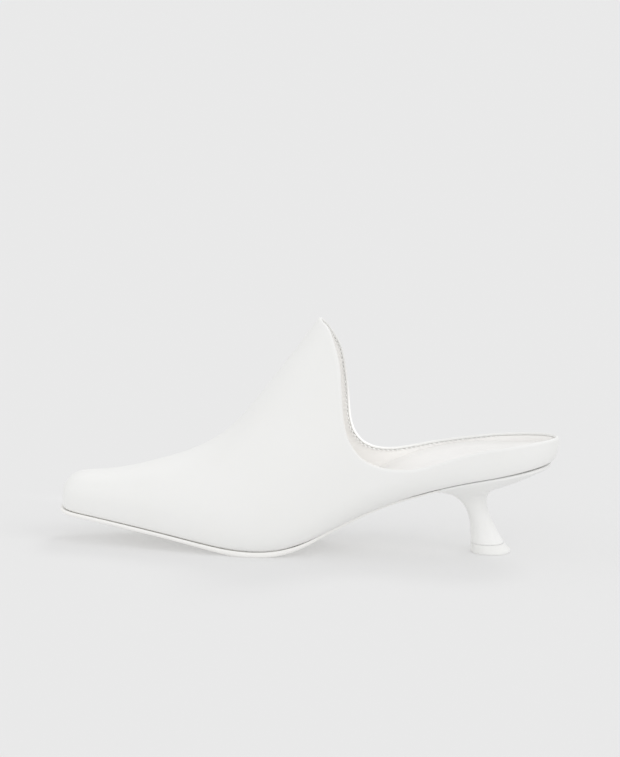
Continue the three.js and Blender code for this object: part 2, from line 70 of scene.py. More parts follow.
class Curve:
    """A natural cubic spline through one column of a table, straight beyond its ends."""

    def __init__(self, at: Sequence[float], values: Sequence[float]) -> None:
        """Fits the spline.

        Args:
            at: increasing positions, one for each row.
            values: the column's value in each row.
        """
        self.at = list(at)
        self.values = list(values)
        count = len(self.at)
        self.bends = [0.0] * count
        shares = [0.0] * count
        for i in range(1, count - 1):
            before = self.at[i] - self.at[i - 1]
            after = self.at[i + 1] - self.at[i]
            pivot = 2 * (before + after) - before * shares[i - 1]
            turn = (self.values[i + 1] - self.values[i]) / after
            turn -= (self.values[i] - self.values[i - 1]) / before
            shares[i] = after / pivot
            self.bends[i] = (6 * turn - before * self.bends[i - 1]) / pivot
        for i in range(count - 2, 0, -1):
            self.bends[i] -= shares[i] * self.bends[i + 1]

    def __call__(self, where: float) -> float:
        """Returns the curve's value at a position."""
        i = 1
        while i < len(self.at) - 1 and where > self.at[i]:
            i += 1
        span = self.at[i] - self.at[i - 1]
        rise = self.values[i] - self.values[i - 1]
        a = (self.at[i] - where) / span
        b = 1 - a
        if a > 1:
            slope = rise / span - span * self.bends[i] / 6
            return self.values[i - 1] + slope * (where - self.at[i - 1])
        if b > 1:
            slope = rise / span + span * self.bends[i - 1] / 6
            return self.values[i] + slope * (where - self.at[i])
        sag = (a**3 - a) * self.bends[i - 1] + (b**3 - b) * self.bends[i]
        return a * self.values[i - 1] + b * self.values[i] + sag * span * span / 6


def curve_of(rows: Sequence[object], name: str, by: str = "x") -> Curve:
    """Fits a spline to one named column of a table.

    Args:
        rows: the table, one dataclass to a row.
        name: the column's name.
        by: the name of the column that says where each row lies.

    Returns:
        The spline.
    """
    return Curve([getattr(row, by) for row in rows], [getattr(row, name) for row in rows])


def lerp(a: float, b: float, share: float) -> float:
    """Returns the value at a share of the way from a to b."""
    return a + (b - a) * share


def clamp(value: float, low: float = 0.0, high: float = 1.0) -> float:
    """Returns the value kept between two limits."""
    return max(low, min(high, value))


def ease(value: float) -> float:
    """Returns a smooth step from 0 to 1 for a value between 0 and 1."""
    t = clamp(value)
    return t * t * (3 - 2 * t)


def ease_between(where: float, start: float, end: float) -> float:
    """Returns a smooth step from 0 at the start to 1 at the end."""
    return ease((where - start) / (end - start))


def lengths_along(points: Sequence[Vector]) -> list[float]:
    """Returns how far along a run of points each one lies."""
    lengths = [0.0]
    for before, point in zip(points, points[1:]):
        lengths.append(lengths[-1] + (point - before).length)
    return lengths


def even_places(lengths: Sequence[float], steps: int) -> list[tuple[int, float]]:
    """Returns evenly spaced places along a run of points.

    Args:
        lengths: how far along the run each point lies.
        steps: how many equal steps the run is cut into.

    Returns:
        For each place, the number of the point before it and the share of the way to the next one.
    """
    places = []
    i = 0
    for step in range(steps + 1):
        want = lengths[-1] * step / steps
        while i < len(lengths) - 2 and lengths[i + 1] < want:
            i += 1
        places.append((i, clamp((want - lengths[i]) / (lengths[i + 1] - lengths[i]))))
    return places


# ------------------------------------------------------------------------------------------ the last


class Side(Enum):
    """The two sides of a left shoe: which way each faces."""

    OUTER = 1
    INNER = -1

    @property
    def other(self) -> "Side":
        """The opposite side."""
        return Side(-self.value)


class Line(Enum):
    """The two plan outlines of the last."""

    FOOT = "foot"
    BODY = "body"


@dataclass(frozen=True)
class Station:
    """A cross-section of the last. Half widths are given for the outer and the inner side."""

    x: float
    seam: float
    arch: float
    foot_out: float
    foot_in: float
    body_out: float
    body_in: float
    belly: float


@dataclass(frozen=True)
class Ridge:
    """The crown line at a station, with the exponents of the section over the belly."""

    x: float
    crown: float
    shift: float
    lean: float
    dome: float


@dataclass(frozen=True)
class Top:
    """A point of a topline, and the station of the feather line that its column of leather starts from."""

    x: float
    z: float
    foot: float


LAST_STATIONS = (
    Station(30, 45.7, 0.0, 24.6, 24.6, 27.4, 27.4, 10.5),
    Station(52, 40.9, 1.0, 23.6, 23.0, 27.8, 27.6, 11.5),
    Station(75, 34.1, 2.4, 21.8, 19.6, 28.9, 28.0, 13.5),
    Station(98, 25.5, 2.8, 22.6, 18.6, 31.6, 29.6, 15.0),
    Station(118, 15.9, 1.8, 27.4, 22.6, 35.4, 33.0, 15.0),
    Station(136, 7.6, 0.5, 33.4, 29.2, 38.8, 36.6, 13.0),
    Station(153, 3.6, 0.0, 36.4, 34.4, 40.2, 39.2, 11.0),
    Station(172, 3.5, 0.0, 36.2, 36.6, 39.2, 39.8, 9.6),
    Station(190, 5.9, 0.0, 33.0, 34.8, 35.4, 37.2, 8.6),
    Station(210, 9.2, 0.0, 28.0, 29.6, 29.9, 31.6, 7.6),
    Station(232, 12.5, 0.0, 21.9, 22.8, 23.4, 24.4, 6.6),
    Station(252, 15.5, 0.0, 17.2, 17.6, 18.4, 18.9, 5.8),
    Station(269, 18.1, 0.0, 14.4, 14.6, 15.5, 15.8, 5.4),
)

LAST_RIDGES = (
    Ridge(0, 196.0, 0.0, 1.9, 2.0),
    Ridge(60, 190.0, -0.5, 1.9, 2.0),
    Ridge(100, 166.0, -1.5, 1.85, 1.95),
    Ridge(131, 125.8, -2.0, 1.75, 1.85),
    Ridge(146, 104.5, -2.0, 1.7, 1.85),
    Ridge(162, 83.0, -1.8, 1.7, 1.85),
    Ridge(173, 69.0, -1.6, 1.75, 1.9),
    Ridge(184, 59.0, -1.3, 1.85, 2.0),
    Ridge(199, 50.5, -1.0, 2.0, 2.1),
    Ridge(216, 44.5, -0.6, 2.2, 2.3),
    Ridge(237, 39.0, -0.2, 2.5, 2.6),
    Ridge(252, 37.1, 0.0, 2.7, 2.8),
    Ridge(269, 36.6, 0.0, 2.8, 2.9),
)

PEAK_X = 131.2

TOPLINE_OUTER = (
    Top(0, 64.6, 0),
    Top(16, 64.8, 16),
    Top(34, 61.6, 34),
    Top(52, 56.9, 51),
    Top(68, 51.6, 66),
    Top(80, 48.9, 77),
    Top(92, 49.7, 88),
    Top(103, 54.0, 99),
    Top(110, 61.6, 108),
    Top(114.2, 72.0, 117),
    Top(116.1, 84.0, 126),
    Top(117.2, 96.0, 134),
    Top(119.2, 107.6, 142),
    Top(122.6, 116.6, 149),
    Top(126.6, 123.2, 154),
    Top(PEAK_X, 125.6, 159),
)

TOPLINE_INNER = (
    Top(0, 64.6, 0),
    Top(16, 63.2, 16),
    Top(34, 60.6, 34),
    Top(52, 58.0, 51),
    Top(68, 55.2, 66),
    Top(81, 52.2, 77),
    Top(95, 50.2, 88),
    Top(106, 52.8, 99),
    Top(112, 59.8, 108),
    Top(114.5, 70.0, 117),
    Top(115.6, 82.0, 126),
    Top(117.3, 95.0, 134),
    Top(120.0, 107.2, 142),
    Top(124.6, 116.2, 149),
    Top(128.6, 122.4, 154),
    Top(PEAK_X, 125.6, 159),
)

TOPLINES = {Side.OUTER: TOPLINE_OUTER, Side.INNER: TOPLINE_INNER}


@dataclass
class Last:
    """The form that the shoe is made over, in millimetres from the back of the heel."""

    length: float = 268.6
    heel_arc: float = 36.0
    heel_tuck: float = 3.6
    heel_squareness: float = 2.1
    toe_arc: float = 13.0
    toe_tuck: float = 0.9
    toe_squareness: float = 3.2
    toe_drop: float = 10.5
    belly_turn: float = 0.25
    belly_limit: float = 0.6
    stations: tuple[Station, ...] = LAST_STATIONS
    ridges: tuple[Ridge, ...] = LAST_RIDGES
    curves: dict[str, Curve] = field(default_factory=dict, init=False)

    def __post_init__(self) -> None:
        """Fits a spline to each column of the two tables."""
        for name in ("seam", "arch", "foot_out", "foot_in", "body_out", "body_in", "belly"):
            self.curves[name] = curve_of(self.stations, name)
        for name in ("crown", "shift", "lean", "dome"):
            self.curves[name] = curve_of(self.ridges, name)

    def half(self, x: float, side: Side, line: Line) -> float:
        """Returns the half width of an outline at a distance along the foot."""
        suffix = "out" if side is Side.OUTER else "in"
        return self.curves[f"{line.value}_{suffix}"](x)

    def seam(self, x: float, side: Side) -> float:
        """Returns the height of the feather line, where upper meets sole."""
        arch = max(0.0, self.curves["arch"](x)) if side is Side.INNER else 0.0
        return self.curves["seam"](x) + arch

    def outline(self, station: float, side: Side, line: Line) -> tuple[float, float]:
        """Finds a point of the plan outline.

        Args:
            station: from 0 at the back to the last's length at the toe; over the two ends it turns
                with the outline.
            side: the side of the shoe.
            line: the feather line or the body.

        Returns:
            The point's distance along the foot and the half width there.
        """
        foot = line is Line.FOOT
        if station < self.heel_arc:
            turn = station / self.heel_arc * math.pi / 2
            reach = self.heel_arc - (self.heel_tuck if foot else 0.0)
            power = 2 / self.heel_squareness
            across = self.half(self.heel_arc, side, line) * math.sin(turn) ** power
            return self.heel_arc - reach * max(0.0, math.cos(turn)) ** power, across
        arc_start = self.length - self.toe_arc
        if station <= arc_start:
            return station, self.half(station, side, line)
        turn = clamp((station - arc_start) / self.toe_arc) * math.pi / 2
        power = 2 / self.toe_squareness
        reach = self.toe_arc - (self.toe_tuck if foot else 0.0)
        x = arc_start + reach * math.sin(turn) ** power
        if station >= self.length:
            return x, 0.0
        return x, self.half(x, side, line) * math.cos(turn) ** power

    def crown(self, station: float) -> float:
        """Returns the height of the crown line at a station."""
        arc_start = self.length - self.toe_arc
        if station <= arc_start:
            return self.curves["crown"](station)
        x, _ = self.outline(station, Side.OUTER, Line.BODY)
        over = clamp((x - arc_start) / self.toe_arc)
        return self.curves["crown"](x) - self.toe_drop * (1 - math.sqrt(1 - over * over))

    def heights(self, station: float, side: Side) -> tuple[float, float, float]:
        """Returns the heights of the feather line, the belly and the crown at a station."""
        x, _ = self.outline(station, side, Line.BODY)
        seam = self.seam(x, side)
        top = self.crown(station)
        return seam, min(seam + self.curves["belly"](x), lerp(seam, top, self.belly_limit)), top

    def point(self, station: float, turn: float, side: Side) -> Vector:
        """Finds a point of the last's surface.

        Args:
            station: the station along the foot.
            turn: how far round the section, from 0 at the feather line to 1 at the crown.
            side: the side of the shoe.

        Returns:
            The point, in millimetres on the last.
        """
        foot_x, foot = self.outline(station, side, Line.FOOT)
        body_x, body = self.outline(station, side, Line.BODY)
        seam, belly, top = self.heights(station, side)
        if turn <= self.belly_turn:
            angle = turn / self.belly_turn * math.pi / 2
            out = math.sin(angle)
            z = seam + (belly - seam) * (1 - math.cos(angle))
            return Vector((lerp(foot_x, body_x, out), side.value * lerp(foot, body, out), z))
        angle = clamp((turn - self.belly_turn) / (1 - self.belly_turn)) * math.pi / 2
        left = max(0.0, math.cos(angle)) ** (2 / self.curves["dome"](body_x))
        if turn >= 1:
            left = 0.0
        rise = math.sin(angle) ** (2 / self.curves["lean"](body_x))
        axis = max(body_x, self.heel_arc)
        y = lerp(self.curves["shift"](body_x), side.value * body, left)
        return Vector((lerp(axis, body_x, left), y, lerp(belly, top, rise)))

    def turn_at(self, station: float, z: float, side: Side) -> float:
        """Returns how far round the section a height lies."""
        x, _ = self.outline(station, side, Line.BODY)
        seam, belly, top = self.heights(station, side)
        if z <= belly:
            angle = math.acos(1 - clamp((z - seam) / (belly - seam)))
            return self.belly_turn * angle / (math.pi / 2)
        rise = clamp((z - belly) / (top - belly))
        angle = math.asin(rise ** (self.curves["lean"](x) / 2))
        return self.belly_turn + (1 - self.belly_turn) * angle / (math.pi / 2)

    def normal(self, station: float, turn: float, side: Side) -> Vector:
        """Returns the outward normal of the last's surface at a point."""
        step = 0.4
        twist = 0.004
        along = self.point(station + step, turn, side) - self.point(max(0.0, station - step), turn, side)
        low, high = max(0.0, turn - twist), min(1.0, turn + twist)
        up = self.point(station, high, side) - self.point(station, low, side)
        return (up.cross(along) * side.value).normalized()


@dataclass
class Frame:
    """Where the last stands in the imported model's frame."""

    origin: Vector

    @classmethod
    def from_nodes(cls) -> "Frame":
        """Returns the frame, read from the back of the upper and the middle of the top lift."""
        upper_low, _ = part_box("upper")
        lift_low, lift_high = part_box("top_lift")
        return cls(Vector((upper_low.x, (lift_low.y + lift_high.y) / 2, 0.0)))

    def place(self, point: Vector) -> Vector:
        """Returns a point of the last, given in millimetres, in the frame and in metres."""
        return point * MM + self.origin


# ------------------------------------------------------------------------------------------ mesh helpers


def new_piece(name: str, mesh_source: bmesh.types.BMesh, material: bpy.types.Material) -> bpy.types.Object:
    """Turns a bmesh into a smooth-shaded piece that rides on the shoe.

    Args:
        name: the piece's name.
        mesh_source: the bmesh, which is freed.
        material: the piece's material.

    Returns:
        The new object, at the origin.
    """
    mesh = bpy.data.meshes.new(name)
    mesh_source.to_mesh(mesh)
    mesh_source.free()
    mesh.materials.append(material)
    mesh.shade_smooth()
    piece = bpy.data.objects.new(name, mesh)
    bpy.context.scene.collection.objects.link(piece)
    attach(piece, BODY)
    return piece


def add_grid(bm: bmesh.types.BMesh, columns: int, rows: int, where: Callable[[int, int], Vector]) -> None:
    """Adds a grid and moves each of its vertices to a place.

    Args:
        bm: the bmesh that takes the grid.
        columns: how many steps the grid has one way.
        rows: how many steps it has the other way.
        where: gives the place for a column and a row, in metres.
    """
    made = bmesh.ops.create_grid(bm, x_segments=columns, y_segments=rows, size=0.5)
    for vertex in made["verts"]:
        column = round((vertex.co.x + 0.5) * columns)
        row = round((vertex.co.y + 0.5) * rows)
        vertex.co = where(column, row)


def weld(bm: bmesh.types.BMesh, distance: float = 2e-6) -> None:
    """Joins vertices that lie in one place and turns every face outwards."""
    bmesh.ops.remove_doubles(bm, verts=bm.verts, dist=distance)
    bmesh.ops.dissolve_degenerate(bm, edges=bm.edges, dist=distance)
    bmesh.ops.recalc_face_normals(bm, faces=bm.faces)


def add_rings(bm: bmesh.types.BMesh, around: int, rings: Sequence[Sequence[Vector]]) -> None:
    """Adds a tube through a stack of rings, with both ends closed.

    Args:
        bm: the bmesh that takes the tube.
        around: the points of each ring.
        rings: the rings, from the lowest up, in metres.
    """
    made = bmesh.ops.create_circle(bm, cap_ends=True, segments=around, radius=0.01)
    verts = list(made["verts"])
    for vertex, place in zip(verts, rings[0]):
        vertex.co = place
    edges = [edge for edge in bm.edges if all(v in verts for v in edge.verts)]
    for ring in rings[1:]:
        grown = bmesh.ops.extrude_edge_only(bm, edges=edges)["geom"]
        edges = [part for part in grown if isinstance(part, bmesh.types.BMEdge)]
        fresh = [part for part in grown if isinstance(part, bmesh.types.BMVert)]
        order = {vert: i for i, vert in enumerate(verts)}
        verts_next = [None] * around
        for vertex in fresh:
            for edge in vertex.link_edges:
                below = edge.other_vert(vertex)
                if below in order:
                    verts_next[order[below]] = vertex
        verts = verts_next
        for vertex, place in zip(verts, ring):
            vertex.co = place
    bmesh.ops.contextual_create(bm, geom=edges)


# ------------------------------------------------------------------------------------------ finishes


def srgb(code: str) -> tuple[float, float, float, float]:
    """Returns the linear colour of an sRGB hex value."""
    parts = [int(code[i : i + 2], 16) / 255 for i in (1, 3, 5)]
    linear = [part / 12.92 if part <= 0.04045 else ((part + 0.055) / 1.055) ** 2.4 for part in parts]
    return linear[0], linear[1], linear[2], 1.0


# The colour sockets of the Mix node, which shares their names with other kinds of value.
MIX_FACTOR, MIX_FIRST, MIX_SECOND, MIX_RESULT = 0, 6, 7, 2


def add_node(
    tree: bpy.types.NodeTree,
    kind: str,
    settings: dict[str, object] | None = None,
    inputs: dict[str | int, object] | None = None,
) -> bpy.types.Node:
    """Adds a node, with its settings, socket values and incoming links.

    Args:
        tree: the material's node tree.
        kind: the node's type name.
        settings: attributes to set on the node.
        inputs: for each input, a value or the output socket that feeds it.

    Returns:
        The new node.
    """
    node = tree.nodes.new(kind)
    for name, value in (settings or {}).items():
        setattr(node, name, value)
    for name, value in (inputs or {}).items():
        if isinstance(value, bpy.types.NodeSocket):
            tree.links.new(value, node.inputs[name])
        else:
            node.inputs[name].default_value = value
    return node


def start_material(name: str) -> tuple[bpy.types.Material, bpy.types.NodeTree, bpy.types.Node]:
    """Returns a new material, its node tree and its surface shader."""
    material = bpy.data.materials.new(name)
    material.use_nodes = True
    return material, material.node_tree, material.node_tree.nodes["Principled BSDF"]


def add_bump(
    tree: bpy.types.NodeTree,
    height: bpy.types.NodeSocket,
    height_mm: float,
    under: bpy.types.NodeSocket | None = None,
) -> bpy.types.NodeSocket:
    """Adds a bump.

    Args:
        tree: the material's node tree.
        height: the pattern, from 0 to 1.
        height_mm: how far the pattern stands up from 0 to 1.
        under: the normal that the bump is laid over, if it isn't the mesh's own.

    Returns:
        The bumped normal.
    """
    inputs = {"Height": height, "Distance": height_mm * MM, "Strength": 1.0}
    if under is not None:
        inputs["Normal"] = under
    return add_node(tree, "ShaderNodeBump", inputs=inputs).outputs["Normal"]


def add_range(
    tree: bpy.types.NodeTree, value: bpy.types.NodeSocket, low: float, high: float, full: float = 1.0
) -> bpy.types.NodeSocket:
    """Adds a node that stretches a pattern over a range.

    Args:
        tree: the material's node tree.
        value: the pattern.
        low: what comes out where the pattern is 0.
        high: what comes out where the pattern reaches its full value.
        full: the pattern's full value.

    Returns:
        The stretched pattern.
    """
    inputs = {"Value": value, "From Max": full, "To Min": low, "To Max": high}
    return add_node(tree, "ShaderNodeMapRange", inputs=inputs).outputs["Result"]


def add_mix(
    tree: bpy.types.NodeTree, share: bpy.types.NodeSocket, low: str, high: str
) -> bpy.types.NodeSocket:
    """Adds a mix of two colours.

    Args:
        tree: the material's node tree.
        share: the pattern that mixes them.
        low: the sRGB hex value where the pattern is 0.
        high: the sRGB hex value where it is 1.

    Returns:
        The mixed colour.
    """
    inputs = {MIX_FACTOR: share, MIX_FIRST: srgb(low), MIX_SECOND: srgb(high)}
    return add_node(tree, "ShaderNodeMix", {"data_type": "RGBA"}, inputs).outputs[MIX_RESULT]


@dataclass(frozen=True)
class LeatherFinish:
    """A smooth full-grain leather: a pigment coat over fine pores and faint stretch marks."""

    name: str
    colour: str
    shade: str
    roughness: float
    grain_mm: float
    grain_height_mm: float
    crease_height_mm: float = 0.0
    specular: float = 0.5
    patch_mm: float = 25.0
    crease_mm: float = 9.0
    pore_edge: float = 0.3
    pore_dulling: float = 0.06
    flat_polish: float = 0.02

    def build(self) -> bpy.types.Material:
        """Returns the material."""
        material, tree, shader = start_material(self.name)
        shader.inputs["IOR"].default_value = 1.5
        shader.inputs["Specular IOR Level"].default_value = self.specular
        here = add_node(tree, "ShaderNodeTexCoord").outputs["Object"]
        # the pigment lies a little unevenly, in broad patches
        scale = 1 / (self.patch_mm * MM)
        patches = add_node(tree, "ShaderNodeTexNoise", inputs={"Vector": here, "Scale": scale, "Detail": 3.0})
        tone = add_mix(tree, patches.outputs["Fac"], self.colour, self.shade)
        tree.links.new(tone, shader.inputs["Base Color"])
        # pores catch the light a little less than the flats between them
        scale = 1 / (self.grain_mm * MM)
        pores = add_node(
            tree, "ShaderNodeTexVoronoi", {"feature": "DISTANCE_TO_EDGE"}, {"Vector": here, "Scale": scale}
        )
        flats = add_range(tree, pores.outputs["Distance"], 0.0, 1.0, self.pore_edge)
        dull, polished = self.roughness + self.pore_dulling, self.roughness - self.flat_polish
        tree.links.new(add_range(tree, flats, dull, polished), shader.inputs["Roughness"])
        normal = add_bump(tree, flats, self.grain_height_mm)
        if self.crease_height_mm:
            # faint folds that the leather keeps from being pulled over the last
            scale = 1 / (self.crease_mm * MM)
            folds = add_node(
                tree,
                "ShaderNodeTexNoise",
                inputs={"Vector": here, "Scale": scale, "Detail": 2.0, "Distortion": 0.6},
            )
            normal = add_bump(tree, folds.outputs["Fac"], self.crease_height_mm, under=normal)
        tree.links.new(normal, shader.inputs["Normal"])
        return material


@dataclass(frozen=True)
class MouldedFinish:
    """A moulded thermoplastic with a fine satin texture."""

    name: str
    colour: str
    roughness: float
    roughness_spread: float = 0.05
    texture_mm: float = 0.5
    texture_height_mm: float = 0.01

    def build(self) -> bpy.types.Material:
        """Returns the material."""
        material, tree, shader = start_material(self.name)
        shader.inputs["Base Color"].default_value = srgb(self.colour)
        shader.inputs["IOR"].default_value = 1.49
        here = add_node(tree, "ShaderNodeTexCoord").outputs["Object"]
        scale = 1 / (self.texture_mm * MM)
        satin = add_node(tree, "ShaderNodeTexNoise", inputs={"Vector": here, "Scale": scale, "Detail": 2.0})
        low, high = self.roughness - self.roughness_spread, self.roughness + self.roughness_spread
        tree.links.new(add_range(tree, satin.outputs["Fac"], low, high), shader.inputs["Roughness"])
        normal = add_bump(tree, satin.outputs["Fac"], self.texture_height_mm)
        tree.links.new(normal, shader.inputs["Normal"])
        return material


@dataclass(frozen=True)
class ThreadFinish:
    """A twisted sewing thread: dull, with the plies winding round it and painted shade in the grooves between
    them.
    """

    name: str
    colour: str
    shade: str
    ply_mm: float
    ply_height_mm: float
    roughness: float

    def build(self) -> bpy.types.Material:
        """Returns the material."""
        material, tree, shader = start_material(self.name)
        shader.inputs["Roughness"].default_value = self.roughness
        here = add_node(tree, "ShaderNodeTexCoord").outputs["Object"]
        # the wave texture turns through 10 radians in each unit of its scale
        scale = 2 * math.pi / 10 / (self.ply_mm * MM)
        plies = add_node(
            tree,
            "ShaderNodeTexWave",
            {"bands_direction": "DIAGONAL"},
            {"Vector": here, "Scale": scale, "Distortion": 0.5},
        )
        # painted shade: where the bump sinks into the grooves between the plies, the colour is mixed towards
        # the greyer one
        tone = add_mix(tree, plies.outputs["Fac"], self.shade, self.colour)
        tree.links.new(tone, shader.inputs["Base Color"])
        normal = add_bump(tree, plies.outputs["Fac"], self.ply_height_mm)
        tree.links.new(normal, shader.inputs["Normal"])
        return material


# Lamb nappa: the softest shoe leather, pigmented white and lightly waxed, so it is nearly smooth.
UPPER_NAPPA = LeatherFinish(
    name="white_lamb_nappa",
    colour="#f2f2f1",
    shade="#f0f0ee",
    roughness=0.46,
    grain_mm=0.55,
    grain_height_mm=0.012,
    crease_height_mm=0.05,
    specular=0.45,
)
# Lining kid: a cleaner white, thinner and drier.
LINING_KID = LeatherFinish(
    name="white_kid_lining",
    colour="#fbfaf9",
    shade="#f9f8f6",
    roughness=0.55,
    grain_mm=0.5,
    grain_height_mm=0.014,
    crease_height_mm=0.03,
    specular=0.35,
)
# Sock leather: smooth lining leather over foam, with a little polish where it is pressed.
SOCK_KID = LeatherFinish(
    name="white_kid_sock",
    colour="#f4f3f2",
    shade="#f1f0ee",
    roughness=0.45,
    grain_mm=0.5,
    grain_height_mm=0.012,
    crease_height_mm=0.04,
)
# Sole: vegetable-tanned leather, sealed and painted white, so its edge has a soft shine.
SOLE_LEATHER = LeatherFinish(
    name="painted_sole_leather",
    colour="#fbfaf8",
    shade="#f8f7f4",
    roughness=0.42,
    grain_mm=0.7,
    grain_height_mm=0.02,
)
# Heel cover: the upper's nappa stretched tight and glazed, so it shines more.
HEEL_NAPPA = LeatherFinish(
    name="stretched_heel_nappa",
    colour="#f4f4f3",
    shade="#f2f2f0",
    roughness=0.34,
    grain_mm=0.6,
    grain_height_mm=0.008,
)
# Sewing thread: bonded polyester, bright white, with painted shade: a greyer line in the grooves between the
# plies.
THREAD = ThreadFinish(
    name="white_bonded_thread",
    colour="#fafaf9",
    shade="#efefed",
    ply_mm=1.1844,
    ply_height_mm=0.04,
    roughness=0.6,
)
# Top lift: moulded polyurethane, satin and a shade greyer than the leather.
LIFT_PLASTIC = MouldedFinish(name="white_polyurethane", colour="#f0f0ee", roughness=0.4)


# ------------------------------------------------------------------------------------------ the upper


@dataclass(frozen=True)
class RimPoint:
    """A point of an edge's section: its depth under the last's surface and its height above the trim."""

    depth: float
    lift: float


@dataclass(frozen=True)
class Sheet:
    """One layer of the upper: the depths of its two faces, how far it is trimmed, and its edge's section."""

    name: str
    outer_mm: float
    inner_mm: float
    trim_mm: float
    peak_trim_mm: float
    rim: tuple[RimPoint, ...]


# The leather is folded inwards at the topline, and the fold stands a little proud of the lining.
FOLDED_RIM = (
    RimPoint(0.0, 0.0),
    RimPoint(0.04, 0.35),
    RimPoint(0.16, 0.72),
    RimPoint(0.38, 1.06),
    RimPoint(0.7, 1.34),
    RimPoint(1.05, 1.48),
    RimPoint(1.4, 1.45),
    RimPoint(1.75, 1.2),
    RimPoint(1.95, 0.85),
    RimPoint(1.98, 0.5),
    RimPoint(1.85, 0.22),
    RimPoint(1.5, 0.08),
    RimPoint(1.1, 0.0),
)
# The lining is cut and turned under.
TURNED_RIM = (
    RimPoint(1.15, 0.0),
    RimPoint(1.2, 0.16),
    RimPoint(1.32, 0.28),
    RimPoint(1.5, 0.33),
    RimPoint(1.68, 0.28),
    RimPoint(1.8, 0.16),
    RimPoint(1.85, 0.0),
)


@dataclass(frozen=True)
class Stitch:
    """A row of stitches: where it starts, how it lies under the topline, and the size of one stitch."""

    start_mm: float = 36.0
    seat: RimPoint = RimPoint(depth=2.05, lift=-0.22)
    length_mm: float = 1.9
    pitch_mm: float = 2.6
    thread_mm: float = 0.75
    facets_round: int = 8
    facets_along: int = 5


@dataclass
class SheetForm:
    """A layer's surface on both sides of the last, whose columns run on from one side to the other."""

    skins: dict[Side, list[list[Vector]]]
    collar_columns: int
    rows: int

    @property
    def last_column(self) -> int:
        """The number of the column at the toe."""
        return len(self.skins[Side.OUTER]) - 1

    def point(self, side: Side, i: int, j: int) -> Vector:
        """Returns a point of the surface, also past the back, the toe and the ridge."""
        if i < 0:
            side, i = side.other, -i
        if i > self.last_column:
            side, i = side.other, 2 * self.last_column - i
        j = max(j, 0)
        if j > self.rows and i < self.collar_columns:
            j = self.rows
        if j > self.rows:
            side, j = side.other, 2 * self.rows - j
        return self.skins[side][i][j]

    def normal(self, side: Side, i: int, j: int) -> Vector:
        """Returns the outward normal at a point of the surface."""
        behind = self.point(side, i - 1, j)
        if i == self.collar_columns and j == self.rows:
            behind = behind.lerp(self.point(side.other, i - 1, j), 0.5)
        along = self.point(side, i + 1, j) - behind
        up = self.point(side, i, j + 1) - self.point(side, i, j - 1)
        return (up.cross(along) * side.value).normalized()

    def rim(self, side: Side, i: int, at: RimPoint) -> Vector:
        """Returns a point of the edge's section at a column of the collar."""
        rows = self.rows
        out = self.normal(side, i, rows)
        over = i == self.collar_columns
        ahead = self.point(side.other, i - 1, rows) if over else self.point(side, i + 1, rows)
        along = ahead - self.point(side, i - 1, rows)
        up = (along.cross(out) * side.value).normalized()
        return self.point(side, i, rows) + up * at.lift - out * at.depth


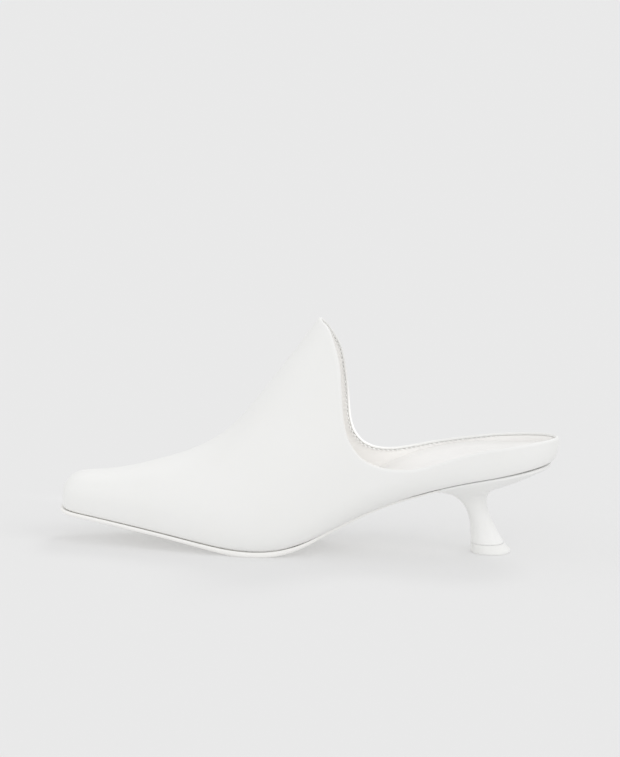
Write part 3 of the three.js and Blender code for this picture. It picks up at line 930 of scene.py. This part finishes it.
@dataclass
class Upper:
    """The closed front and the low wall round the heel: a leather shell, its lining and their stitches."""

    last: Last
    frame: Frame
    collar_columns: int = 130
    vamp_columns: int = 80
    rows: int = 52
    topline_stops: int = 500
    section_stops: int = 80
    slope_step_mm: float = 0.2
    back_ease_mm: float = 20.0
    peak_fade_mm: float = 26.0
    toe_crowding: float = 1.1
    stitch: Stitch = Stitch()
    leather: Sheet = Sheet(
        name="upper_leather_shell",
        outer_mm=0.0,
        inner_mm=1.1,
        trim_mm=1.5,
        peak_trim_mm=1.5,
        rim=FOLDED_RIM,
    )
    lining: Sheet = Sheet(
        name="upper_lining",
        outer_mm=1.15,
        inner_mm=1.85,
        trim_mm=2.1,
        peak_trim_mm=1.55,
        rim=TURNED_RIM,
    )

    def columns(self, side: Side, sheet: Sheet) -> list[tuple[float, float, float]]:
        """Spaces the columns of one side evenly along the topline, then closer and closer towards the toe.

        Args:
            side: the side of the shoe.
            sheet: the layer, which says how far the edge is held back from the topline.

        Returns:
            Each column's foot station, top station and top turn, from the back to the toe.
        """
        table = TOPLINES[side]
        along = [0.0]
        for before, row in zip(table, table[1:]):
            along.append(along[-1] + math.hypot(row.x - before.x, row.z - before.z))
        x_of = Curve(along, [row.x for row in table])
        z_of = Curve(along, [row.z for row in table])
        foot_of = Curve(along, [row.foot for row in table])

        def stop(at: float) -> tuple[float, float, float]:
            """Returns the foot station, the top station and the top turn at a length along the topline."""
            slope_x = x_of(at + self.slope_step_mm) - x_of(at - self.slope_step_mm)
            slope_z = z_of(at + self.slope_step_mm) - z_of(at - self.slope_step_mm)
            tilt = math.hypot(slope_x, slope_z)
            left = (along[-1] - at) / self.peak_fade_mm
            trim = lerp(sheet.peak_trim_mm, sheet.trim_mm, ease(left))
            top = max(0.0, x_of(at) + trim * slope_z / tilt * ease(at / self.back_ease_mm))
            z = min(z_of(at) - trim * slope_x / tilt, self.last.crown(top))
            return max(0.0, foot_of(at)), top, self.last.turn_at(top, z, side)

        stops = [stop(along[-1] * i / self.topline_stops) for i in range(self.topline_stops)]
        _, top, _ = stop(along[-1])
        foot = table[-1].foot
        stops.append((foot, top, 1.0))
        lengths = lengths_along([self.last.point(station, turn, side) for _, station, turn in stops])
        made = []
        for i, share in even_places(lengths, self.collar_columns):
            made.append(tuple(lerp(a, b, share) for a, b in zip(stops[i], stops[i + 1])))
        for column in range(1, self.vamp_columns + 1):
            share = math.sin(column / self.vamp_columns * math.pi / 2) ** self.toe_crowding
            station = lerp(top, self.last.length, share)
            made.append((station + (foot - top) * (1 - share) ** 2, station, 1.0))
        return made

    def skin(self, side: Side, sheet: Sheet) -> list[list[Vector]]:
        """Returns one side's surface as columns of points, evenly spaced from the foot to the top."""
        shares = [k / self.section_stops for k in range(self.section_stops + 1)]
        columns = []
        for foot, top, turn in self.columns(side, sheet):
            lengths = lengths_along([self.last.point(lerp(foot, top, s), turn * s, side) for s in shares])
            made = []
            for i, part in even_places(lengths, self.rows):
                share = (i + part) / self.section_stops
                made.append(self.last.point(lerp(foot, top, share), turn * share, side))
            columns.append(made)
        return columns

    def surfaces(self, sheet: Sheet) -> dict[Side, list[list[Vector]]]:
        """Returns both sides' surfaces, which share the back, the ridge and the toe."""
        outer = self.skin(Side.OUTER, sheet)
        inner = self.skin(Side.INNER, sheet)
        inner[0] = outer[0]
        inner[-1] = outer[-1]
        for i in range(self.collar_columns, len(outer)):
            inner[i][-1] = outer[i][-1]
        return {Side.OUTER: outer, Side.INNER: inner}

    def form(self, sheet: Sheet) -> SheetForm:
        """Returns the surface of one layer, which finds its own normals."""
        return SheetForm(self.surfaces(sheet), self.collar_columns, self.rows)

    def build_sheet(self, sheet: Sheet, material: bpy.types.Material) -> bpy.types.Object:
        """Builds one layer: its two faces, the rolled topline and the edge at the feather line.

        Args:
            sheet: the layer.
            material: its material.

        Returns:
            The piece.
        """
        form = self.form(sheet)
        columns, rows = form.last_column, self.rows
        bm = bmesh.new()
        for side in Side:
            outs = [[form.normal(side, i, j) for j in range(rows + 1)] for i in range(columns + 1)]

            def face(i: int, j: int, depth: float) -> Vector:
                """Returns a point of one face, at a depth under the last's surface."""
                return self.frame.place(form.skins[side][i][j] - outs[i][j] * depth)

            def roll(i: int, k: int) -> Vector:
                """Returns a point of the rolled edge."""
                return self.frame.place(form.rim(side, i, sheet.rim[k]))

            add_grid(bm, columns, rows, lambda i, j: face(i, j, sheet.outer_mm))
            add_grid(bm, columns, rows, lambda i, j: face(i, j, sheet.inner_mm))
            add_grid(bm, columns, 1, lambda i, k: face(i, 0, (sheet.outer_mm, sheet.inner_mm)[k]))
            add_grid(bm, self.collar_columns, len(sheet.rim) - 1, roll)
        weld(bm)
        return new_piece(sheet.name, bm, material)

    def build_stitches(self, material: bpy.types.Material) -> bpy.types.Object:
        """Builds the row of stitches that holds the fold down, in the crease between fold and lining.

        Args:
            material: the thread.

        Returns:
            The piece.
        """
        form = self.form(self.leather)
        stitch = self.stitch
        bm = bmesh.new()
        for side in Side:
            line = [form.rim(side, i, stitch.seat) for i in range(self.collar_columns + 1)]
            lengths = lengths_along(line)
            due = next(length for length, after in zip(lengths, line[1:]) if after.x > stitch.start_mm)
            for i in range(self.collar_columns):
                while lengths[i] <= due < lengths[i + 1]:
                    share = (due - lengths[i]) / (lengths[i + 1] - lengths[i])
                    along = (line[i + 1] - line[i]).normalized()
                    out = form.normal(side, i + 1, self.rows)
                    self.add_stitch(bm, line[i].lerp(line[i + 1], share), along, out)
                    due += stitch.pitch_mm
        return new_piece("topline_stitches", bm, material)

    def add_stitch(self, bm: bmesh.types.BMesh, middle: Vector, along: Vector, out: Vector) -> None:
        """Adds one stitch.

        Args:
            bm: the bmesh that takes it.
            middle: its middle, in millimetres on the last.
            along: the direction of the seam.
            out: the leather's outward normal there.
        """
        across = along.cross(out).normalized()
        turn = Matrix((along, across, along.cross(across))).transposed().to_4x4()
        stitch = self.stitch
        size = Matrix.Diagonal((stitch.length_mm, stitch.thread_mm, stitch.thread_mm, 1.0))
        place = Matrix.Translation(self.frame.place(middle)) @ turn @ Matrix.Scale(MM / 2, 4) @ size
        bmesh.ops.create_uvsphere(
            bm, u_segments=stitch.facets_round, v_segments=stitch.facets_along, radius=1.0, matrix=place
        )

    def build(
        self, leather: bpy.types.Material, kid: bpy.types.Material, thread: bpy.types.Material
    ) -> list[bpy.types.Object]:
        """Builds the leather shell, its lining and the stitches.

        Args:
            leather: the upper's material.
            kid: the lining's material.
            thread: the stitches' material.

        Returns:
            The three pieces.
        """
        shell = self.build_sheet(self.leather, leather)
        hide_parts("upper")
        pieces = [shell, self.build_sheet(self.lining, kid), self.build_stitches(thread)]
        return pieces


# ------------------------------------------------------------------------------------------ the footbed


@dataclass(frozen=True)
class BedHeight:
    """The footbed's height over the feather line, at its outer and inner edges."""

    x: float
    out: float
    inn: float


@dataclass
class Footbed:
    """The padded sock that the foot stands on, tucked in all round against the lining."""

    last: Last
    frame: Frame
    clearance_mm: float = 1.95
    thickness_mm: float = 3.0
    edge_roll_mm: float = 0.5
    roll_width_mm: float = 1.0
    crown_mm: float = 0.3
    crown_width_mm: float = 40.0
    cup_mm: float = 2.6
    cup_width_mm: float = 10.0
    cup_rises: tuple[float, float] = (8.0, 48.0)
    cup_fades: tuple[float, float] = (96.0, 140.0)
    toe_gap_mm: float = 1.0
    columns: int = 150
    across: int = 36
    heights: tuple[BedHeight, ...] = (
        BedHeight(0, 8.4, 8.4),
        BedHeight(34, 9.6, 9.6),
        BedHeight(62, 10.2, 11.4),
        BedHeight(88, 8.0, 9.8),
        BedHeight(110, 5.4, 6.4),
        BedHeight(132, 3.8, 4.0),
        BedHeight(160, 3.4, 3.4),
        BedHeight(268, 3.4, 3.4),
    )

    def edge(self, station: float, side: Side, height: Curve) -> Vector:
        """Returns the point of the footbed's edge at a station of one side."""
        foot_x, _ = self.last.outline(station, side, Line.FOOT)
        body_x, _ = self.last.outline(station, side, Line.BODY)
        z = self.last.seam(body_x, side) + height(foot_x)
        turn = self.last.turn_at(station, z, side)
        inside = self.last.point(station, turn, side)
        for _ in range(2):
            out = self.last.normal(station, turn, side)
            turn = self.last.turn_at(station, z + out.z * self.clearance_mm, side)
            inside = self.last.point(station, turn, side) - out * self.clearance_mm
        inside.z = z
        if station <= 0 or station >= self.last.length:
            inside.y = 0.0
        return inside

    def build(self, material: bpy.types.Material) -> bpy.types.Object:
        """Builds the footbed.

        Args:
            material: the sock's leather.

        Returns:
            The padded piece.
        """
        out = curve_of(self.heights, "out")
        inn = curve_of(self.heights, "inn")
        reach = self.last.length - self.toe_gap_mm
        stations = [reach * (i / self.columns) for i in range(self.columns + 1)]
        outer = [self.edge(s, Side.OUTER, out) for s in stations]
        inner = [self.edge(s, Side.INNER, inn) for s in stations]
        inner[0] = outer[0].copy()

        def place(i: int, j: int) -> Vector:
            """Returns a point of the top: crowned, cupped towards the walls and rolled down at its edge."""
            # points close up towards the two edges
            spread = 0.5 - math.cos(j / self.across * math.pi) / 2
            point = outer[i].lerp(inner[i], spread)
            width = (outer[i] - inner[i]).length
            near = min(spread, 1 - spread) * width
            point.z += self.crown_mm * math.sin(spread * math.pi) * min(1.0, width / self.crown_width_mm)
            point.z -= self.edge_roll_mm * (1 - min(1.0, near / self.roll_width_mm)) ** 2
            risen = ease_between(point.x, *self.cup_rises)
            faded = ease_between(point.x, *self.cup_fades)
            cup = self.cup_mm * (1 - faded) * risen
            point.z += cup * (1 - min(1.0, near / self.cup_width_mm)) ** 2
            return self.frame.place(point)

        bm = bmesh.new()
        add_grid(bm, self.columns, self.across, place)
        weld(bm)
        below = bmesh.ops.extrude_face_region(bm, geom=bm.faces[:], use_keep_orig=True)
        moved = [part for part in below["geom"] if isinstance(part, bmesh.types.BMVert)]
        bmesh.ops.translate(bm, verts=moved, vec=(0, 0, -self.thickness_mm * MM))
        bmesh.ops.recalc_face_normals(bm, faces=bm.faces)
        bed = new_piece("padded_sock", bm, material)
        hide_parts("insole")
        return bed


# ------------------------------------------------------------------------------------------ the sole


@dataclass(frozen=True)
class SoleEdge:
    """How far the sole stands outside the feather line, how thick it is, and the open crease above it."""

    x: float
    lip: float
    thick: float
    crease: float


@dataclass(frozen=True)
class EdgeStep:
    """A point of the sole's edge: how far in from the widest, and its share of the thickness from the top."""

    inset: float
    depth: float
    corner: bool = False


@dataclass
class Sole:
    """A thin leather sole from the toe to the front of the heel, with a trimmed and rounded edge."""

    last: Last
    frame: Frame
    back: float = 63.4
    tread_from: float = 151.0
    tread_to: float = 175.0
    columns: int = 160
    across: int = 16
    toe_crowding: float = 1.05
    slope_step_mm: float = 0.5
    least_crease_mm: float = 0.02
    rounded_crease_mm: float = 0.25
    table: tuple[SoleEdge, ...] = (
        SoleEdge(64, 0.0, 1.3, 0.3),
        SoleEdge(76, -0.3, 1.4, 0.3),
        SoleEdge(85, -0.4, 1.6, 0.02),
        SoleEdge(108, -0.3, 1.8, 0.02),
        SoleEdge(124, 0.0, 2.1, 0.02),
        SoleEdge(138, 0.8, 2.9, 0.25),
        SoleEdge(153, 1.3, 3.3, 0.3),
        SoleEdge(172, 1.4, 3.1, 0.3),
        SoleEdge(192, 1.3, 2.5, 0.3),
        SoleEdge(230, 1.4, 2.3, 0.3),
        SoleEdge(252, 1.6, 2.3, 0.3),
        SoleEdge(269, 2.0, 2.3, 0.3),
    )
    profile: tuple[EdgeStep, ...] = (
        EdgeStep(1.2, 0.0),
        EdgeStep(0.35, 0.0, corner=True),
        EdgeStep(0.12, 0.05, corner=True),
        EdgeStep(0.0, 0.18),
        EdgeStep(0.0, 0.42),
        EdgeStep(0.12, 0.62),
        EdgeStep(0.45, 0.8),
        EdgeStep(1.0, 0.93),
        EdgeStep(1.8, 1.0),
    )
    curves: dict[str, Curve] = field(default_factory=dict, init=False)

    def __post_init__(self) -> None:
        """Fits a spline to each column of the table."""
        for name in ("lip", "thick", "crease"):
            self.curves[name] = curve_of(self.table, name)

    def edge(self, station: float, side: Side, step: EdgeStep) -> Vector:
        """Finds a point of the sole's edge.

        Args:
            station: the station along the foot.
            side: the side of the shoe.
            step: the point's place in the edge's profile.

        Returns:
            The point, in millimetres on the last.
        """
        length = self.last.length
        x, half = self.last.outline(station, side, Line.FOOT)
        ahead = self.last.outline(min(station + self.slope_step_mm, length), side, Line.FOOT)
        behind = self.last.outline(station - self.slope_step_mm, side, Line.FOOT)
        along = Vector((ahead[0] - behind[0], ahead[1] - behind[1])).normalized()
        # where the crease closes, the upper corner is left square, so that the upper runs on into the sole
        square = clamp(self.curves["crease"](x) / self.rounded_crease_mm) if step.corner else 1.0
        out = self.curves["lip"](x) - step.inset * square
        if station >= length:
            place = Vector((x + out, 0.0))
        else:
            place = Vector((x - along.y * out, side.value * max(0.0, half + along.x * out)))
        top = self.last.curves["seam"](place.x) - max(self.least_crease_mm, self.curves["crease"](place.x))
        z = top - self.curves["thick"](place.x) * step.depth
        if self.tread_from < place.x < self.tread_to and step.depth == 1:
            z = 0.0
        lift = max(0.0, self.last.curves["arch"](place.x)) if side is Side.INNER else 0.0
        return Vector((place.x, place.y, max(0.0, z) + lift))

    def ring(self, station: float) -> list[Vector]:
        """Returns the sole's section at a station: down one edge, across, up the other edge and back."""
        near = [self.edge(station, Side.OUTER, step) for step in self.profile]
        far = [self.edge(station, Side.INNER, step) for step in reversed(self.profile)]
        shares = [k / self.across for k in range(1, self.across)]
        bottom = [near[-1].lerp(far[0], share) for share in shares]
        top = [far[-1].lerp(near[0], share) for share in shares]
        return near + bottom + far + top

    def build(self, material: bpy.types.Material) -> bpy.types.Object:
        """Builds the sole.

        Args:
            material: the sole's leather.

        Returns:
            The sole.
        """
        rings = []
        for i in range(self.columns + 1):
            share = math.sin(i / self.columns * math.pi / 2) ** self.toe_crowding
            rings.append(self.ring(lerp(self.back, self.last.length, share)))
        around = len(rings[0])
        bm = bmesh.new()
        add_grid(bm, self.columns, around, lambda i, j: self.frame.place(rings[i][j % around]))
        weld(bm)
        openings = [edge for edge in bm.edges if edge.is_boundary]
        bmesh.ops.contextual_create(bm, geom=openings)
        bmesh.ops.recalc_face_normals(bm, faces=bm.faces)
        sole = new_piece("leather_sole", bm, material)
        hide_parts("sole")
        return sole


# ------------------------------------------------------------------------------------------ the heel


@dataclass(frozen=True)
class HeelLevel:
    """A level of the heel: its two ends in side view, its half width, and its share of the seat's shape."""

    front_x: float
    front_z: float
    back_x: float
    back_z: float
    half: float
    seat: float = 0.0


@dataclass(frozen=True)
class LiftStep:
    """A point of the top lift's edge: its height, and how far in from the widest."""

    z: float
    inset: float


@dataclass
class Heel:
    """A waisted heel covered in leather, flared to the seat, with its top lift."""

    last: Last
    frame: Frame
    seat_front: float = 64.0
    gap_mm: float = 0.3
    squareness: float = 2.2
    front_share: float = 0.24
    around: int = 112
    steps: int = 6
    levels: tuple[HeelLevel, ...] = (
        HeelLevel(46.0, 5.03, 28.0, 5.03, 9.35),
        HeelLevel(46.2, 9.6, 30.8, 9.6, 8.0),
        HeelLevel(46.7, 14.6, 33.4, 14.4, 7.1),
        HeelLevel(47.6, 19.4, 35.7, 19.6, 6.7),
        HeelLevel(49.4, 23.9, 37.6, 25.0, 7.1),
        HeelLevel(52.0, 27.4, 37.9, 29.6, 8.5),
        HeelLevel(55.3, 30.1, 35.6, 33.6, 11.2, 0.05),
        HeelLevel(58.8, 32.0, 29.8, 36.8, 15.0, 0.2),
        HeelLevel(61.4, 33.3, 21.4, 40.0, 18.6, 0.45),
        HeelLevel(63.1, 34.7, 12.6, 44.0, 21.6, 0.75),
        HeelLevel(63.7, 35.9, 6.0, 47.3, 23.5, 1.0),
        HeelLevel(63.8, 36.8, 4.0, 48.7, 24.2, 1.0),
    )
    lift_foot: HeelLevel = HeelLevel(45.8, 0.0, 24.4, 0.0, 11.2)
    lift_head: HeelLevel = HeelLevel(46.1, 5.0, 27.9, 5.0, 9.4)
    lift_straight_mm: float = 0.8
    lift_edge: tuple[LiftStep, ...] = (
        LiftStep(0.0, 0.7),
        LiftStep(0.0, 0.35),
        LiftStep(0.12, 0.1),
        LiftStep(0.35, 0.0),
        LiftStep(0.8, 0.0),
        LiftStep(1.8, 0.0),
        LiftStep(3.2, 0.0),
        LiftStep(4.8, 0.0),
        LiftStep(4.94, 0.04),
        LiftStep(5.0, 0.16),
    )

    def seat_share(self, share: float, side: Side) -> tuple[float, float]:
        """Returns a point of the seat's outline, in shares of its half length and half width."""
        widest = self.last.half(self.last.heel_arc, side, Line.FOOT)
        if share < self.front_share:
            corner = self.last.outline(self.seat_front, side, Line.FOOT)[1] / widest
            return 1.0, corner * share / self.front_share
        station = self.seat_front * (1 - (share - self.front_share) / (1 - self.front_share))
        x, half = self.last.outline(max(0.0, station), side, Line.FOOT)
        tuck = self.last.heel_tuck
        return lerp(-1, 1, (x - tuck) / (self.seat_front - tuck)), half / widest

    def arch_lift(self, x: float, share: float) -> float:
        """Returns how far the arch lifts the seat's inner side, at a share of its half width."""
        return max(0.0, self.last.curves["arch"](x)) * ease(share)

    def ring(self, level: HeelLevel) -> list[Vector]:
        """Returns the outline of one level."""
        seam = self.last.curves["seam"]
        centre = (level.back_x + level.front_x) / 2
        reach = (level.front_x - level.back_x) / 2
        power = 2 / self.squareness
        points = []
        for i in range(self.around):
            turn = 2 * i / self.around
            side = Side.OUTER if turn <= 1 else Side.INNER
            cos, sin = math.cos(turn * math.pi), abs(math.sin(turn * math.pi))
            along, across = self.seat_share(turn if turn <= 1 else 2 - turn, side)
            x = centre + reach * lerp(math.copysign(abs(cos) ** power, cos), along, level.seat)
            y = level.half * lerp(sin**power, across, level.seat)
            share = (x - level.back_x) / (level.front_x - level.back_x)
            chord = lerp(seam(level.back_x), seam(level.front_x), share)
            z = lerp(level.back_z, level.front_z, share) + level.seat * (seam(x) - chord)
            if side is Side.INNER:
                z += level.seat * self.arch_lift(x, y / level.half)
            points.append(Vector((x, side.value * y, z)))
        return points

    def smooth_levels(self) -> list[HeelLevel]:
        """Returns the levels with others put between them along smooth curves."""
        names = ("front_x", "front_z", "back_x", "back_z", "half", "seat")
        at = [0.0]
        for low, high in zip(self.levels, self.levels[1:]):
            at.append(at[-1] + math.hypot(high.back_x - low.back_x, high.back_z - low.back_z) ** 0.5)
        curves = [Curve(at, [getattr(level, name) for level in self.levels]) for name in names]
        made = []
        for low, high in zip(at, at[1:]):
            for step in range(self.steps):
                values = [curve(lerp(low, high, step / self.steps)) for curve in curves]
                values[-1] = clamp(values[-1])
                made.append(HeelLevel(*values))
        made.append(self.levels[-1])
        return made

    def build(self, cover: bpy.types.Material, plastic: bpy.types.Material) -> list[bpy.types.Object]:
        """Builds the heel and its top lift.

        Args:
            cover: the heel's leather.
            plastic: the top lift's material.

        Returns:
            The two pieces.
        """
        rings = [self.ring(level) for level in self.smooth_levels()]
        seat = [point.copy() for point in rings[-1]]
        for point in seat:
            lift = self.arch_lift(point.x, -point.y / self.levels[-1].half)
            point.z = self.last.curves["seam"](point.x) - self.gap_mm + lift
        rings.append(seat)
        bm = bmesh.new()
        add_rings(bm, self.around, [[self.frame.place(p) for p in ring] for ring in rings])
        bmesh.ops.recalc_face_normals(bm, faces=bm.faces)
        heel = new_piece("covered_heel", bm, cover)
        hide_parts("heel")
        return [heel, self.build_lift(plastic)]

    def build_lift(self, plastic: bpy.types.Material) -> bpy.types.Object:
        """Builds the top lift, with its two edges rounded."""
        foot, head = self.lift_foot, self.lift_head
        rings = []
        for step in self.lift_edge:
            share = max(0.0, step.z - self.lift_straight_mm) / (head.front_z - self.lift_straight_mm)
            level = HeelLevel(
                front_x=lerp(foot.front_x, head.front_x, share) - step.inset,
                front_z=step.z,
                back_x=lerp(foot.back_x, head.back_x, share) + step.inset,
                back_z=step.z,
                half=lerp(foot.half, head.half, share) - step.inset,
            )
            rings.append(self.ring(level))
        bm = bmesh.new()
        add_rings(bm, self.around, [[self.frame.place(p) for p in ring] for ring in rings])
        bmesh.ops.recalc_face_normals(bm, faces=bm.faces)
        lift = new_piece("heel_top_lift", bm, plastic)
        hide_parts("top_lift")
        return lift


# ------------------------------------------------------------------------------------------ the studio


@dataclass(frozen=True)
class Softbox:
    """A far, wide light: where it hangs as seen from the shoe, how strong it is and how wide it looks."""

    name: str
    direction: tuple[float, float, float]
    strength: float
    width_deg: float


@dataclass
class Studio:
    """A pale table that glows a little, soft light from all round, and a long-lens camera.

    The table glows and reflects the rest, so that it stays evenly pale and the shadows stay light.
    """

    frame: Frame
    wall_light: float = 0.81
    table_glow: float = 0.26
    table_albedo: float = 0.541
    table_size: float = 60.0
    softboxes: tuple[Softbox, ...] = (
        Softbox("front_softbox", (0.05, 0.9, 0.42), 0.3, 50.0),
        Softbox("heel_side_softbox", (-0.85, 0.4, 0.75), 0.36, 40.0),
        Softbox("toe_side_softbox", (1.0, 0.1, 0.25), 0.26, 50.0),
        Softbox("rear_softbox", (-0.25, -0.65, 0.7), 0.38, 20.0),
    )
    yaw_rad: float = 0.0628
    elevation_rad: float = 0.17699
    roll: float = 0.0215
    distance: float = 2.4
    view_height_mm: float = 409.19
    view_depth: float = 100.0
    sensor_mm: float = 36.0
    aim_mm: tuple[float, float, float] = (135.3, 0.0, 91.9)
    fill_from_mm: tuple[float, float, float] = (-140.0, 70.0, 190.0)
    fill_at_mm: tuple[float, float, float] = (108.0, -14.0, 56.0)
    fill_cone_deg: float = 13.0
    fill_blend: float = 0.6
    fill_radius_mm: float = 10.0
    fill_watts: float = 1.6
    bounces: int = 12

    def build(self) -> None:
        """Builds the table, the lights and the camera, and sets how the light is worked out."""
        scene = bpy.context.scene
        scene.view_settings.view_transform = "Standard"
        scene.cycles.diffuse_bounces = self.bounces
        self.build_floor()
        self.build_world()
        self.build_lights()
        self.build_fill()
        self.build_camera()

    def build_floor(self) -> None:
        """Lays the table under the shoe."""
        bm = bmesh.new()
        bmesh.ops.create_grid(bm, x_segments=1, y_segments=1, size=self.table_size / 2)
        mesh = bpy.data.meshes.new("studio_floor")
        bm.to_mesh(mesh)
        bm.free()
        # matt white paint over a lit panel: an even pale field with no shine
        paint, _, shader = start_material("matt_studio_paint")
        shader.inputs["Base Color"].default_value = (self.table_albedo,) * 3 + (1.0,)
        shader.inputs["Emission Color"].default_value = (1.0, 1.0, 1.0, 1.0)
        shader.inputs["Emission Strength"].default_value = self.table_glow
        shader.inputs["Roughness"].default_value = 1.0
        shader.inputs["Specular IOR Level"].default_value = 0.0
        mesh.materials.append(paint)
        floor = bpy.data.objects.new("studio_floor", mesh)
        bpy.context.scene.collection.objects.link(floor)

    def build_world(self) -> None:
        """Sets the even light of the studio's walls."""
        world = bpy.data.worlds.new("studio_walls")
        world.use_nodes = True
        background = world.node_tree.nodes["Background"]
        background.inputs["Color"].default_value = (1.0, 1.0, 1.0, 1.0)
        background.inputs["Strength"].default_value = self.wall_light
        bpy.context.scene.world = world

    def build_lights(self) -> None:
        """Hangs a soft light in front, one at each end of the shoe, and a harder one behind."""
        for box in self.softboxes:
            light = bpy.data.lights.new(box.name, "SUN")
            light.energy = box.strength
            light.angle = math.radians(box.width_deg)
            lamp = bpy.data.objects.new(box.name, light)
            lamp.matrix_world = Vector(box.direction).to_track_quat("Z", "Y").to_matrix().to_4x4()
            bpy.context.scene.collection.objects.link(lamp)

    def build_fill(self) -> None:
        """Shines a narrow lamp from behind the heel into the front, to open up the shade inside it."""
        light = bpy.data.lights.new("collar_fill", "SPOT")
        light.energy = self.fill_watts
        light.spot_size = math.radians(self.fill_cone_deg)
        light.spot_blend = self.fill_blend
        light.shadow_soft_size = self.fill_radius_mm * MM
        lamp = bpy.data.objects.new("collar_fill", light)
        stand = self.frame.place(Vector(self.fill_from_mm))
        back = (stand - self.frame.place(Vector(self.fill_at_mm))).normalized()
        lamp.matrix_world = Matrix.Translation(stand) @ back.to_track_quat("Z", "Y").to_matrix().to_4x4()
        bpy.context.scene.collection.objects.link(lamp)

    def build_camera(self) -> None:
        """Sets the camera on the outer side, looking a little down across the shoe."""
        right = Vector((-math.cos(self.yaw_rad), -math.sin(self.yaw_rad), 0.0))
        level = Vector((-math.sin(self.yaw_rad), math.cos(self.yaw_rad), 0.0))
        back = level * math.cos(self.elevation_rad)
        back.z = math.sin(self.elevation_rad)
        up = back.cross(right)
        tilted_right = (right + self.roll * up).normalized()
        tilted_up = back.cross(tilted_right)
        turn = Matrix((tilted_right, tilted_up, back)).transposed().to_4x4()
        aim = self.frame.place(Vector(self.aim_mm))
        data = bpy.data.cameras.new("long_lens")
        data.sensor_fit = "VERTICAL"
        data.sensor_height = self.sensor_mm
        data.lens = self.sensor_mm * self.distance / (self.view_height_mm * MM)
        data.clip_end = self.view_depth
        camera = bpy.data.objects.new("long_lens", data)
        camera.matrix_world = Matrix.Translation(aim + back * self.distance) @ turn
        bpy.context.scene.collection.objects.link(camera)
        bpy.context.scene.camera = camera


# ------------------------------------------------------------------------------------------ the shoe


def report(pieces: Sequence[bpy.types.Object]) -> None:
    """Logs the name and the triangles of each piece."""
    for piece in pieces:
        triangles = sum(len(face.vertices) - 2 for face in piece.data.polygons)
        LOG.info("%s: %d triangles", piece.name, triangles)


def main() -> None:
    """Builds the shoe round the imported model, then the studio."""
    logging.basicConfig(level=logging.INFO, format="%(name)s: %(message)s")
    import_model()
    last = Last()
    frame = Frame.from_nodes()
    nappa = UPPER_NAPPA.build()
    kid = LINING_KID.build()
    report(Upper(last, frame).build(nappa, kid, THREAD.build()))
    report([Footbed(last, frame).build(SOCK_KID.build())])
    report([Sole(last, frame).build(SOLE_LEATHER.build())])
    report(Heel(last, frame).build(HEEL_NAPPA.build(), LIFT_PLASTIC.build()))
    Studio(frame).build()


if __name__ == "__main__":
    main()
